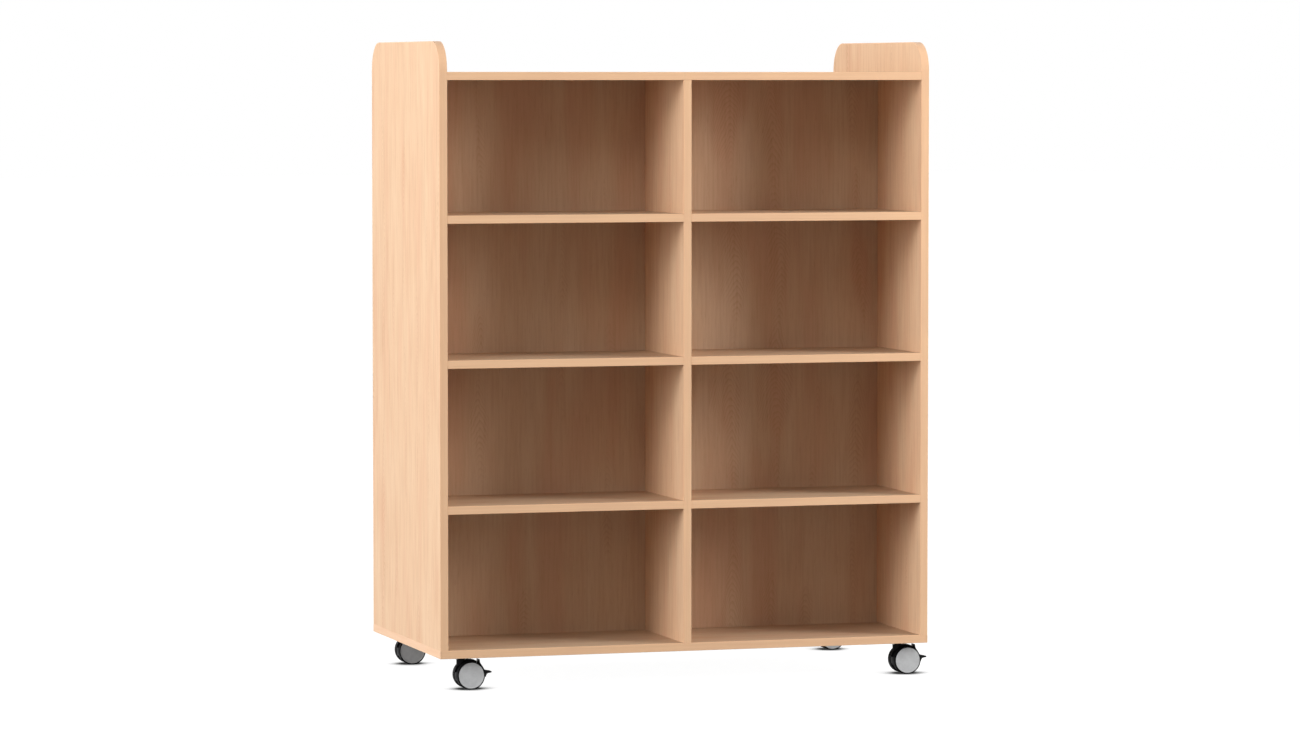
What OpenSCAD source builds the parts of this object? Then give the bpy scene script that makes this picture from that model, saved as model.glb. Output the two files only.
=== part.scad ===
// Double-sided mobile shelving unit: a board carcass with open compartments
// on both faces, on four twin-wheel castors, the front two with a brake.
// X runs along the width, Y from front to rear and Z up from the floor.

/* [Carcass] */
// Overall width
unit_w = 1200; // [1000:1:1500]
// Overall depth, front edge to rear edge
unit_d = 634; // [600:1:760]
// Thickness of the side panels
side_t = 19; // [18:1:25]
// Thickness of the bottom board
bottom_t = 19; // [18:1:25]
// Thickness of the top board
top_t = 19; // [18:1:25]
// Thickness of the central partition
partition_t = 22; // [18:1:28]
// Thickness of the upright divider on each face
divider_t = 19; // [18:1:25]
// Upper face of the top board above the bottom board
top_board_h = 1339; // [1200:1:1500]
// Rise of the side panels above the top board
end_rise = 71; // [70:1:120]
// Radius of the upper corners of the side panels
corner_r = 66; // [20:1:68]

/* [Shelves] */
// Thickness of the shelves
shelf_t = 19; // [18:1:25]
// Upper face of the lowest shelf above the bottom board
low_shelf_h = 335; // [250:1:400]
// Upper face of the middle shelf above the bottom board
middle_shelf_h = 673; // [600:1:740]
// Upper face of the highest shelf above the bottom board
high_shelf_h = 1008; // [940:1:1060]

/* [Edging] */
// Thickness of the edging on every visible board edge
edging_t = 2; // [1:0.5:3]
// Radius of the arrises along the edging
arris_r = 0.8; // [0.3:0.1:0.9]
// Gap where one strip of edging butts against another
butt_gap = 0.1; // [0.05:0.05:0.3]

/* [Fixings] */
// Diameter of the dowels
dowel_d = 8; // [6:1:10]
// Length of the dowels
dowel_l = 30; // [25:1:40]
// Depth that a dowel enters the face of a board
dowel_depth = 8; // [5:0.5:8]
// Distance of the shelf dowels from the board edges
dowel_inset = 60; // [40:1:80]
// Outermost side panel fixings from the front and rear edges
side_fixing_inset = 47; // [35:1:70]
// Outermost partition fixings from the side panels
partition_fixing_inset = 101; // [60:1:140]
// Shank diameter of the screws that join the boards
board_screw_d = 6.8; // [5:0.2:7]
// Length of the screws that join the boards
board_screw_l = 50; // [40:1:60]
// Head diameter of the screws that join the boards
board_screw_head_d = 10; // [9:0.5:12]
// Depth of the countersunk head
board_screw_head_h = 3; // [2:0.5:4]
// Clearance round dowels, screws and pins
fit_gap = 0.05; // [0.03:0.01:0.1]
// Space left at the ends of blind holes
end_gap = 0.5; // [0.3:0.1:0.8]

/* [Castors] */
// Height of a castor from the floor to the bottom board
castor_h = 76; // [75:1:82]
// Swivel axis to the end of the unit
swivel_end = 61; // [50:1:90]
// Swivel axis to the front or rear edge
swivel_edge = 46; // [40:1:70]
// Distance from the swivel axis to the wheel axle
trail = 19; // [17:1:21]
// Diameter of the wheels
wheel_d = 66; // [65:1:68]
// Width of one wheel
wheel_w = 18; // [16:0.5:20]
// Space between the two wheels of a castor
wheel_gap = 14; // [13:0.5:16]
// Radius of the shoulders of a tread
shoulder_r = 1.8; // [0.8:0.1:2.2]
// Wall of the wheel rim
rim_t = 4.5; // [4:0.5:6]
// Thickness of the wheel disc
disc_t = 3; // [2:0.5:4]
// Outer diameter of the wheel hub
hub_d = 17; // [14:1:20]
// Number of ribs behind the wheel disc
rib_count = 8; // [5:1:10]
// Thickness of a rib
rib_t = 1.8; // [1:0.1:3]
// Distance of the ribs from the open side of a wheel
rib_setback = 2; // [1:0.5:3]
// Diameter of the cover cap on a wheel
cap_d = 60.5; // [54:0.5:61]
// Thickness of the cover cap
cap_t = 2; // [1.5:0.1:3]
// Width of the raised lip of the cover cap
cap_lip_w = 2.2; // [1.5:0.1:3]
// Bevel round the lip
cap_bevel = 0.5; // [0.3:0.1:0.8]
// Depth of the face inside the lip
cap_dish = 0.3; // [0.2:0.1:0.6]
// Diameter of the axle
axle_d = 8; // [6:0.5:10]

/* [Castor housing] */
// Radius of the hood above the wheel axle
hood_r = 37; // [36:0.5:37.5]
// Space over the treads where the boss is cut clear of them
tread_room = 1; // [0.8:0.1:1.4]
// Running gap between the housing and each wheel
housing_gap = 0.6; // [0.4:0.1:1]
// Diameter of the swivel boss
boss_d = 21; // [18:0.5:24]
// Lowest point of the swivel boss above the floor
boss_foot = 52; // [48:1:56]
// Lower edge of the housing below the axle
housing_drop = 13; // [10:1:16]
// Diameter of the kingpin
kingpin_d = 10; // [8:0.5:12]
// Depth of the kingpin in the housing
kingpin_depth = 14; // [10:1:15]
// Side length of the square top plate
plate_w = 42; // [38:1:46]
// Thickness of the top plate
plate_t = 2.5; // [2:0.5:3]
// Radius of the corners of the top plate
plate_corner_r = 5; // [2:0.5:6]
// Spacing of the screws in the top plate
plate_pitch = 31; // [30:1:33]
// Diameter of the raised bearing ring under the plate
bearing_d = 18; // [16:1:20]
// Height of the raised bearing ring
bearing_h = 1; // [0.6:0.1:1.2]
// Gap between the bearing ring and the housing
swivel_gap = 0.3; // [0.2:0.1:0.5]
// Shank diameter of the castor screws
castor_screw_d = 4; // [3:0.5:4.5]
// Length of the castor screws above the plate
castor_screw_l = 14; // [10:1:15]
// Head diameter of the castor screws
castor_screw_head_d = 7.5; // [6:0.5:8]
// Head height of the castor screws
castor_screw_head_h = 1.8; // [1:0.1:2]

/* [Brake lever] */
// Width of the pedal and of the release horn
lever_w = 20; // [17:1:26]
// Width of the lever between the housing cheeks
lever_web_w = 6; // [4:0.5:7]
// Gap on each side of the lever web
lever_side_gap = 0.4; // [0.3:0.1:0.6]
// Thickness of the shoe round the treads
shoe_t = 3; // [2:0.5:3.5]
// Least gap between the shoe and the treads
shoe_gap = 0.7; // [0.6:0.1:1]
// Pivot of the lever behind the wheel axle
pivot_x = 24; // [22:0.5:25]
// Pivot of the lever above the wheel axle
pivot_z = 11; // [9:0.5:13]
// Diameter of the trunnions of the lever
trunnion_d = 4; // [3:0.5:5]
// Angle that the pedal travels from free to braked
brake_travel = 12; // [8:1:12]
// Reach of the pedal behind the wheel axle
pedal_reach = 53; // [48:1:58]
// Height of the pedal tip above the wheel axle
pedal_tip_z = 5.8; // [4:0.1:7]
// Thickness of the pedal blade
pedal_t = 3.6; // [3:0.1:4.5]
// Forward face of the release horn behind the wheel axle
horn_x = 21.5; // [21:0.5:23]
// Gap between the hood and the release horn
horn_clearance = 3; // [2:0.5:4]
// Thickness of the release horn
horn_t = 3; // [2.5:0.5:4]
// Top of the release horn above the wheel axle
horn_top = 36.5; // [34:0.5:37]

/* [Hidden] */
$fn = 72;
slack = 0.1;

// Levels of the carcass above the floor
base_z = castor_h;
deck_z = base_z + bottom_t;
top_z = deck_z + top_board_h;
ceiling_z = top_z - top_t;
summit_z = top_z + end_rise;
side_h = summit_z - deck_z;
inner_w = unit_w - 2 * side_t;
core_d = unit_d - 2 * edging_t;
shelf_tops = [deck_z + low_shelf_h, deck_z + middle_shelf_h, deck_z + high_shelf_h];
side_fixing_step = (unit_d / 2 - side_fixing_inset) / 3;
partition_fixing_step = (inner_w / 2 - partition_fixing_inset) / 3;
bay_w = (inner_w - divider_t) / 2;
bay_x = (inner_w + divider_t) / 4;
wing_d = (core_d - partition_t) / 2;
wing_y = (core_d + partition_t) / 4;

// Levels and sizes of a castor, from its swivel axis on the floor
wheel_r = wheel_d / 2;
web_w = wheel_gap - 2 * housing_gap;
web_r = wheel_r - housing_gap;
plate_z = castor_h - plate_t;
boss_top = plate_z - bearing_h - swivel_gap;
axle_l = wheel_gap + 2 * (wheel_w - cap_t - end_gap);
slot_w = lever_web_w + 2 * lever_side_gap;
shoe_in = wheel_r + shoe_gap;
shoe_out = shoe_in + shoe_t;
hood_end = acos((horn_x - horn_clearance) / hood_r);

// Where the axle lies in the lever's own frame once the pedal is down
braked_x = pivot_x * (1 - cos(brake_travel)) + pivot_z * sin(brake_travel);
braked_z = pivot_z * (1 - cos(brake_travel)) - pivot_x * sin(brake_travel);

// Ends of the shoe and of the hood, as angles round the axle
shoe_low = -8;
shoe_high = 50;
hood_low = 36;
hood_high = 168;

// Small forms of the wheels and of the brake lever
rib_root = 1;
horn_root_z = 20;
horn_root_h = 7;
horn_fillet = 3.5;
horn_fillet_h = 4.5;
horn_bevel = 0.8;
pedal_root = 2;
pedal_root_high = 5;
pedal_root_low = -11;
pedal_crest = [6, 3.6];
pedal_heel = [8, -3];
pedal_gusset = [4.5, -9];
lever_eye_wall = 3;
web_foot_z = -5;
web_foot_x = 10;
web_head_z = 10;
slot_margin = 5;

// Swivel axes from the middle of the unit
castor_x = unit_w / 2 - swivel_end;
castor_y = unit_d / 2 - swivel_edge;

// Fixings as [point on the joint face, direction into the board drilled in its face]
dowel_y = [partition_t / 2 + dowel_inset, unit_d / 2 - dowel_inset];
function shelf_mid(level) = shelf_tops[level] - shelf_t / 2;
function side_dowels(face, bay, level) = [
    for (y = dowel_y) [[bay * inner_w / 2, face * y, shelf_mid(level)], [bay, 0, 0]]
];
function divider_dowels(face, bay, level) = [
    for (y = dowel_y) [[bay * divider_t / 2, face * y, shelf_mid(level)], [-bay, 0, 0]]
];
function shelf_dowels(face, bay, level) = concat(
    side_dowels(face, bay, level), divider_dowels(face, bay, level)
);
function side_foot(bay, step) = [
    [bay * (inner_w + side_t) / 2, step * side_fixing_step, deck_z], [0, 0, -1]
];
function side_foot_dowels(bay) = [for (step = [-2, 0, 2]) side_foot(bay, step)];
function side_screws(bay) = [for (step = [-3, -1, 1, 3]) side_foot(bay, step)];
function top_dowels(bay) = [
    for (step = [-2, 0, 2])
        [[bay * inner_w / 2, step * side_fixing_step, top_z - top_t / 2], [bay, 0, 0]]
];
function partition_foot_dowels() = [
    for (step = [-2, 2]) [[step * partition_fixing_step, 0, deck_z], [0, 0, -1]]
];
function partition_head_dowels() = [
    for (step = [-2, 2]) [[step * partition_fixing_step, 0, ceiling_z], [0, 0, 1]]
];
function partition_screws() = [
    for (step = [-3, -1, 1, 3]) [[step * partition_fixing_step, 0, deck_z], [0, 0, -1]]
];
function divider_foot_dowels(face) = [
    [[0, face * (dowel_y[0] + dowel_y[1]) / 2, deck_z], [0, 0, -1]]
];
function divider_head_dowels(face) = [
    for (y = dowel_y) [[0, face * y, ceiling_z], [0, 0, 1]]
];
function divider_screws(face) = [for (y = dowel_y) [[0, face * y, deck_z], [0, 0, -1]]];

faces = [-1, 1];
bays = [-1, 1];
levels = [0, 1, 2];
side_shelf_dowels = [
    for (bay = bays) [for (face = faces) for (level = levels) each side_dowels(face, bay, level)]
];
foot_dowels = concat(
    side_foot_dowels(-1), side_foot_dowels(1), partition_foot_dowels(),
    divider_foot_dowels(-1), divider_foot_dowels(1)
);
foot_screws = concat(
    side_screws(-1), side_screws(1), partition_screws(),
    divider_screws(-1), divider_screws(1)
);
head_dowels = concat(
    partition_head_dowels(), divider_head_dowels(-1), divider_head_dowels(1)
);

// Points of a round corner
function arc(cx, cy, r, from, to, steps) = [
    for (i = [0:steps]) let (a = from + (to - from) * i / steps)
        [cx + r * cos(a), cy + r * sin(a)]
];

// Turns +Z to the direction of a fixing, which lies along X or Z
module along(direction) {
    rotate([direction[2] < 0 ? 180 : 0, direction[0] * 90, 0]) children();
}

module dowel_set(list, gap, spare) {
    for (f = list)
        translate(f[0]) along(f[1])
            translate([0, 0, dowel_depth - dowel_l - spare])
                cylinder(d = dowel_d + 2 * gap, h = dowel_l + 2 * spare);
}

module dowel_holes(list) {
    dowel_set(list, fit_gap, end_gap);
}

module board_screw_set(list, gap) {
    for (f = list)
        translate([f[0][0], f[0][1], base_z]) {
            cylinder(d = board_screw_d + 2 * gap, h = board_screw_l + (gap > 0 ? end_gap : 0));
            cylinder(
                d1 = board_screw_head_d + 2 * gap, d2 = board_screw_d + 2 * gap,
                h = board_screw_head_h
            );
        }
}

module castor_screw_spots() {
    for (x = faces, y = faces, i = faces, j = faces)
        translate([x * castor_x + i * plate_pitch / 2, y * castor_y + j * plate_pitch / 2, 0])
            children();
}

// Boards

module bottom_board() {
    color("#d3b085") difference() {
        translate([-unit_w / 2 + edging_t, -core_d / 2, base_z])
            cube([unit_w - 2 * edging_t, core_d, bottom_t]);
        dowel_holes(foot_dowels);
        board_screw_set(foot_screws, fit_gap);
        castor_screw_spots()
            translate([0, 0, base_z - slack])
                cylinder(d = castor_screw_d + 2 * fit_gap, h = castor_screw_l + end_gap + slack);
    }
}

// A quarter disc in the YZ plane, centred on X, from +Y round to +Z
module quarter_disc(r, t) {
    rotate([90, 0, 90]) rotate_extrude(angle = 90) translate([0, -t / 2]) square([r, t]);
}

module side_panel(bay) {
    corner_y = unit_d / 2 - corner_r;
    corner_z = summit_z - corner_r;
    color("#d3b085") difference() {
        translate([bay * (inner_w + side_t) / 2, 0, 0]) {
            translate([-side_t / 2, -core_d / 2, deck_z])
                cube([side_t, core_d, side_h - corner_r]);
            translate([-side_t / 2, -corner_y, corner_z])
                cube([side_t, 2 * corner_y, corner_r - edging_t]);
            for (turn = [0, 180])
                rotate([0, 0, turn]) translate([0, corner_y, corner_z])
                    quarter_disc(corner_r - edging_t, side_t);
        }
        dowel_holes(bay < 0 ? side_shelf_dowels[0] : side_shelf_dowels[1]);
        dowel_holes(side_foot_dowels(bay));
        dowel_holes(top_dowels(bay));
        board_screw_set(side_screws(bay), fit_gap);
    }
}

module top_board() {
    color("#d3b085") difference() {
        translate([-inner_w / 2, -core_d / 2, ceiling_z]) cube([inner_w, core_d, top_t]);
        dowel_holes(top_dowels(-1));
        dowel_holes(top_dowels(1));
        dowel_holes(head_dowels);
    }
}

module centre_partition() {
    color("#c9a274") difference() {
        translate([-inner_w / 2, -partition_t / 2, deck_z])
            cube([inner_w, partition_t, ceiling_z - deck_z]);
        dowel_holes(partition_foot_dowels());
        dowel_holes(partition_head_dowels());
        board_screw_set(partition_screws(), fit_gap);
    }
}

module divider(face) {
    color("#cfaa7d") difference() {
        translate([-divider_t / 2, face * wing_y - wing_d / 2, deck_z])
            cube([divider_t, wing_d, ceiling_z - deck_z]);
        for (bay = bays, level = levels) dowel_holes(divider_dowels(face, bay, level));
        dowel_holes(divider_foot_dowels(face));
        dowel_holes(divider_head_dowels(face));
        board_screw_set(divider_screws(face), fit_gap);
    }
}

module shelf(face, bay, level) {
    color("#cfaa7d") difference() {
        translate([bay * bay_x - bay_w / 2, face * wing_y - wing_d / 2, shelf_tops[level] - shelf_t])
            cube([bay_w, wing_d, shelf_t]);
        dowel_holes(shelf_dowels(face, bay, level));
    }
}

// Edging: the profile lies with its outer face at +X, its width along Y

module edging_profile(width) {
    polygon(concat(
        [[0, 0]],
        arc(edging_t - arris_r, arris_r, arris_r, -90, 0, 4),
        arc(edging_t - arris_r, width - arris_r, arris_r, 0, 90, 4),
        [[0, width]]
    ));
}

// A level strip along X that faces +Y, from z = 0 up to its width
module level_strip(length, width) {
    rotate([90, 0, 90]) linear_extrude(length, center = true) edging_profile(width);
}

module side_edging_run(bay) {
    corner_y = unit_d / 2 - corner_r;
    corner_z = summit_z - corner_r;
    translate([bay * (inner_w + side_t) / 2, 0, 0])
        for (turn = [0, 180]) rotate([0, 0, turn]) {
            translate([side_t / 2, core_d / 2, deck_z]) rotate([0, 0, 90])
                linear_extrude(side_h - corner_r) edging_profile(side_t);
            translate([-side_t / 2, corner_y, corner_z]) rotate([90, 0, 90])
                rotate_extrude(angle = 90) translate([corner_r - edging_t, 0])
                    edging_profile(side_t);
            translate([side_t / 2, corner_y, summit_z - edging_t])
                rotate([90, 0, 0]) linear_extrude(corner_y) rotate([0, 0, 90])
                    edging_profile(side_t);
        }
}

module side_edging() {
    color("#dcbb92") for (bay = bays) side_edging_run(bay);
}

module board_edging() {
    color("#dcbb92") for (face = faces) rotate([0, 0, face < 0 ? 180 : 0]) {
        translate([0, core_d / 2, base_z]) level_strip(unit_w, bottom_t);
        translate([unit_w / 2 - edging_t, 0, base_z])
            rotate([0, 0, -90]) level_strip(core_d - 2 * butt_gap, bottom_t);
        translate([0, core_d / 2, ceiling_z]) level_strip(inner_w, top_t);
        translate([divider_t / 2, core_d / 2, deck_z + butt_gap]) rotate([0, 0, 90])
            linear_extrude(ceiling_z - deck_z - 2 * butt_gap) edging_profile(divider_t);
    }
}

module shelf_edging() {
    color("#dcbb92") for (turn = [0, 180], bay = bays, top = shelf_tops)
        rotate([0, 0, turn])
            translate([bay * bay_x, core_d / 2, top - shelf_t]) level_strip(bay_w, shelf_t);
}

// Fixings

module dowels() {
    color("#e0c9a0") {
        for (face = faces, bay = bays, level = levels)
            dowel_set(shelf_dowels(face, bay, level), 0, 0);
        dowel_set(foot_dowels, 0, 0);
        dowel_set(head_dowels, 0, 0);
        for (bay = bays) dowel_set(top_dowels(bay), 0, 0);
    }
}

module board_screws() {
    color("#b9b9b4") board_screw_set(foot_screws, 0);
}

module castor_screws() {
    color("#b9b9b4") castor_screw_spots()
        translate([0, 0, plate_z]) {
            cylinder(d = castor_screw_d, h = plate_t + castor_screw_l);
            translate([0, 0, -castor_screw_head_h])
                cylinder(d = castor_screw_head_d, h = castor_screw_head_h);
        }
}

// Castors: each piece is drawn with the swivel axis at the origin and the axle at +X

module at_castor(side, face) {
    translate([side * castor_x, face * castor_y, 0]) children();
}

// Turns +Z to the axle's direction, outwards on the side that is given
module on_axle(side) {
    translate([trail, 0, wheel_r]) rotate([-90 * side, 0, 0]) children();
}

module rounded_plate(size, r, t) {
    for (turn = [0:90:270]) rotate([0, 0, turn]) {
        cube([size / 2, size / 2 - r, t]);
        cube([size / 2 - r, size / 2, t]);
        translate([size / 2 - r, size / 2 - r, 0])
            rotate_extrude(angle = 90) square([r, t]);
    }
}

module castor_plate() {
    color("#8d8f92") difference() {
        union() {
            translate([0, 0, plate_z]) rounded_plate(plate_w, plate_corner_r, plate_t);
            translate([0, 0, plate_z - bearing_h]) cylinder(d = bearing_d, h = bearing_h + slack);
        }
        translate([0, 0, plate_z - bearing_h - slack])
            cylinder(d = kingpin_d + 2 * fit_gap, h = bearing_h + plate_t + 2 * slack);
        for (x = faces, y = faces)
            translate([x * plate_pitch / 2, y * plate_pitch / 2, plate_z - slack])
                cylinder(d = castor_screw_d + 2 * fit_gap, h = plate_t + 2 * slack);
    }
}

module kingpin() {
    color("#9a9c9e") translate([0, 0, boss_top - kingpin_depth])
        cylinder(d = kingpin_d, h = castor_h - boss_top + kingpin_depth);
}

// A wedge round the axle, seen from the front, between two angles
module axle_wedge(from, to, width) {
    reach = 2 * hood_r;
    translate([trail, 0, wheel_r]) rotate([90, 0, 0]) linear_extrude(width, center = true)
        polygon(concat([[0, 0]], arc(0, 0, reach, from, to, 6)));
}

module across_axle(x, z, r, width) {
    translate([trail + x, 0, wheel_r + z]) rotate([90, 0, 0])
        cylinder(r = r, h = width, center = true);
}

module wheel_space() {
    for (side = faces)
        on_axle(side) translate([0, 0, web_w / 2]) cylinder(r = wheel_r + tread_room, h = wheel_w + lever_w);
}

module housing(braked) {
    color("#1f2023") difference() {
        union() {
            difference() {
                across_axle(0, 0, web_r, web_w);
                translate([trail - wheel_d, -wheel_gap, wheel_r - housing_drop - wheel_d])
                    cube([2 * wheel_d, 2 * wheel_gap, wheel_d]);
            }
            intersection() {
                across_axle(0, 0, hood_r, web_w);
                axle_wedge(braked ? hood_end : hood_low, hood_high, 2 * web_w);
            }
            translate([0, 0, boss_foot]) cylinder(d = boss_d, h = boss_top - boss_foot);
        }
        wheel_space();
        translate([0, 0, boss_top - kingpin_depth - end_gap])
            cylinder(d = kingpin_d + 2 * fit_gap, h = kingpin_depth + end_gap + slack);
        across_axle(0, 0, axle_d / 2 + fit_gap, web_w + 2 * slack);
        if (braked) {
            translate([trail + pivot_x - trunnion_d / 2 - slot_margin, -slot_w / 2, 0])
                cube([wheel_d, slot_w, castor_h]);
            across_axle(pivot_x, pivot_z, trunnion_d / 2 + fit_gap, web_w + 2 * slack);
        }
    }
}

module axle() {
    color("#a6a8aa") across_axle(0, 0, axle_d / 2, axle_l);
}

// Heights in the wheel and cap profiles run from the wheel's inner face outwards
module wheel(side) {
    rim_in = wheel_r - rim_t;
    bore_r = axle_d / 2 + fit_gap;
    cap_seat = wheel_w - cap_t;
    disc_in = cap_seat - disc_t;
    recess_r = cap_d / 2 + fit_gap;
    color("#232427") on_axle(side) translate([0, 0, wheel_gap / 2]) {
        rotate_extrude() polygon(concat(
            [[bore_r, 0], [hub_d / 2, 0], [hub_d / 2, disc_in], [rim_in, disc_in], [rim_in, 0]],
            arc(wheel_r - shoulder_r, shoulder_r, shoulder_r, -90, 0, 5),
            arc(wheel_r - shoulder_r, wheel_w - shoulder_r, shoulder_r, 0, 90, 5),
            [[recess_r, wheel_w], [recess_r, cap_seat], [bore_r, cap_seat]]
        ));
        for (i = [0:rib_count - 1]) rotate([0, 0, i * 360 / rib_count])
            translate([hub_d / 2 - rib_root, -rib_t / 2, rib_setback])
                cube([rim_in - hub_d / 2 + 2 * rib_root, rib_t, disc_in - rib_setback + slack]);
    }
}

module cap(side) {
    cap_r = cap_d / 2;
    color("#b4b6b8") on_axle(side) translate([0, 0, wheel_gap / 2 + wheel_w - cap_t])
        rotate_extrude() polygon([
            [0, 0], [cap_r, 0], [cap_r, cap_t - cap_bevel], [cap_r - cap_bevel, cap_t],
            [cap_r - cap_lip_w, cap_t], [cap_r - cap_lip_w - cap_dish, cap_t - cap_dish],
            [0, cap_t - cap_dish]
        ]);
}

// The lever's sizes run from the axle: x behind it, z above it

module lever_shoe() {
    intersection() {
        lever_discs(lever_w);
        axle_wedge(shoe_low, shoe_high, 2 * lever_w);
    }
}

// Outlines that follow the treads with the pedal up and with it down
module lever_discs(width) {
    across_axle(0, 0, shoe_out, width);
    across_axle(braked_x, braked_z, shoe_out, width);
}

module lever_extrusion(width) {
    translate([trail, 0, wheel_r]) rotate([90, 0, 0])
        linear_extrude(width, center = true) children();
}

module release_horn() {
    back_x = horn_x + horn_t;
    lever_extrusion(lever_w) polygon([
        [horn_x, horn_root_z], [back_x + horn_fillet, horn_root_z],
        [back_x + horn_fillet, horn_root_z + horn_root_h],
        [back_x, horn_root_z + horn_root_h + horn_fillet_h], [back_x, horn_top - horn_bevel],
        [back_x - horn_bevel, horn_top], [horn_x + horn_bevel, horn_top],
        [horn_x, horn_top - horn_bevel]
    ]);
}

module pedal() {
    tip_x = pedal_reach - pedal_t / 2;
    root = [shoe_out - pedal_root, pedal_tip_z];
    lever_extrusion(lever_w) polygon([
        root + [0, pedal_root_high], root + pedal_crest,
        [tip_x, pedal_tip_z + pedal_t / 2], [tip_x, pedal_tip_z - pedal_t / 2],
        root + pedal_heel, root + pedal_gusset, root + [0, pedal_root_low]
    ]);
    across_axle(tip_x, pedal_tip_z, pedal_t / 2, lever_w);
}

module lever_web() {
    eye_r = trunnion_d / 2 + lever_eye_wall;
    across_axle(pivot_x, pivot_z, eye_r, lever_web_w);
    across_axle(pivot_x, pivot_z, trunnion_d / 2, web_w);
    intersection() {
        lever_discs(lever_web_w);
        lever_extrusion(lever_web_w) polygon([
            [pivot_x - eye_r, pivot_z], [pivot_x, wheel_r + web_head_z],
            [2 * wheel_r, pivot_z], [2 * wheel_r, web_foot_z],
            [pivot_x + web_foot_x, web_foot_z], [pivot_x, pivot_z - eye_r]
        ]);
    }
}

module brake_lever() {
    color("#17181a") {
        difference() {
            union() {
                lever_shoe();
                release_horn();
                pedal();
            }
            for (side = faces, centre = [[0, 0], [braked_x, braked_z]])
                translate([centre[0], 0, centre[1]]) on_axle(side)
                    translate([0, 0, -slack]) cylinder(r = shoe_in, h = lever_w);
        }
        lever_web();
    }
}

bottom_board();
side_panel(-1);  // left_side_panel
side_panel(1);  // right_side_panel
top_board();
centre_partition();
divider(-1);  // front_divider
divider(1);  // rear_divider
shelf(-1, -1, 0);  // front_left_low_shelf
shelf(-1, -1, 1);  // front_left_middle_shelf
shelf(-1, -1, 2);  // front_left_high_shelf
shelf(-1, 1, 0);  // front_right_low_shelf
shelf(-1, 1, 1);  // front_right_middle_shelf
shelf(-1, 1, 2);  // front_right_high_shelf
shelf(1, -1, 0);  // rear_left_low_shelf
shelf(1, -1, 1);  // rear_left_middle_shelf
shelf(1, -1, 2);  // rear_left_high_shelf
shelf(1, 1, 0);  // rear_right_low_shelf
shelf(1, 1, 1);  // rear_right_middle_shelf
shelf(1, 1, 2);  // rear_right_high_shelf
side_edging();
board_edging();
shelf_edging();
dowels();
board_screws();
castor_screws();
at_castor(-1, -1) castor_plate();  // front_left_castor_plate
at_castor(1, -1) castor_plate();  // front_right_castor_plate
at_castor(-1, 1) castor_plate();  // rear_left_castor_plate
at_castor(1, 1) castor_plate();  // rear_right_castor_plate
at_castor(-1, -1) kingpin();  // front_left_kingpin
at_castor(1, -1) kingpin();  // front_right_kingpin
at_castor(-1, 1) kingpin();  // rear_left_kingpin
at_castor(1, 1) kingpin();  // rear_right_kingpin
at_castor(-1, -1) housing(true);  // front_left_housing
at_castor(1, -1) housing(true);  // front_right_housing
at_castor(-1, 1) housing(false);  // rear_left_housing
at_castor(1, 1) housing(false);  // rear_right_housing
at_castor(-1, -1) axle();  // front_left_axle
at_castor(1, -1) axle();  // front_right_axle
at_castor(-1, 1) axle();  // rear_left_axle
at_castor(1, 1) axle();  // rear_right_axle
at_castor(-1, -1) wheel(-1);  // front_left_outer_wheel
at_castor(-1, -1) wheel(1);  // front_left_inner_wheel
at_castor(1, -1) wheel(-1);  // front_right_outer_wheel
at_castor(1, -1) wheel(1);  // front_right_inner_wheel
at_castor(-1, 1) wheel(1);  // rear_left_outer_wheel
at_castor(-1, 1) wheel(-1);  // rear_left_inner_wheel
at_castor(1, 1) wheel(1);  // rear_right_outer_wheel
at_castor(1, 1) wheel(-1);  // rear_right_inner_wheel
at_castor(-1, -1) cap(-1);  // front_left_outer_cap
at_castor(-1, -1) cap(1);  // front_left_inner_cap
at_castor(1, -1) cap(-1);  // front_right_outer_cap
at_castor(1, -1) cap(1);  // front_right_inner_cap
at_castor(-1, 1) cap(1);  // rear_left_outer_cap
at_castor(-1, 1) cap(-1);  // rear_left_inner_cap
at_castor(1, 1) cap(1);  // rear_right_outer_cap
at_castor(1, 1) cap(-1);  // rear_right_inner_cap
at_castor(-1, -1) brake_lever();  // front_left_brake_lever
at_castor(1, -1) brake_lever();  // front_right_brake_lever
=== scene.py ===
"""Double-sided beech book shelving on twin-wheel castors: studio, finishes and castor pieces."""

import math
import bmesh
import bpy
from mathutils import Matrix, Vector


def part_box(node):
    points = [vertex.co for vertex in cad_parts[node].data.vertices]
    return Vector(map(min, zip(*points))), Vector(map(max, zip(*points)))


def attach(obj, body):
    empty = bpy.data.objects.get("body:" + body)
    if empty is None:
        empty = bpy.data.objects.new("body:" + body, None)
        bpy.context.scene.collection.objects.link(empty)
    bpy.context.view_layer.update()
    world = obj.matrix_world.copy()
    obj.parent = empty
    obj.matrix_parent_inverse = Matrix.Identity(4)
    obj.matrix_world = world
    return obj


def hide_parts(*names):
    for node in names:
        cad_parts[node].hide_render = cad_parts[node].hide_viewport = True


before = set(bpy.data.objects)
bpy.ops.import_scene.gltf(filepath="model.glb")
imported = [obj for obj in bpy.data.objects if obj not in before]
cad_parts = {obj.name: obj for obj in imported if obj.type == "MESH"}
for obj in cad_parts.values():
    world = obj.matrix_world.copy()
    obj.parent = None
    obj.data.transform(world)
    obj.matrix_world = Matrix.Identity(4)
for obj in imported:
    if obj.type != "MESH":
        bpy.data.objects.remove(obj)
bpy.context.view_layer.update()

bl_info = {
    "name": "Mobile Book Shelving",
    "version": (1, 0, 0),
    "blender": (4, 5, 0),
    "location": "3D View > Sidebar > Shelving",
    "description": "Studio, finishes and castor pieces of a double-sided book shelving unit",
    "category": "Object",
}

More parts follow.
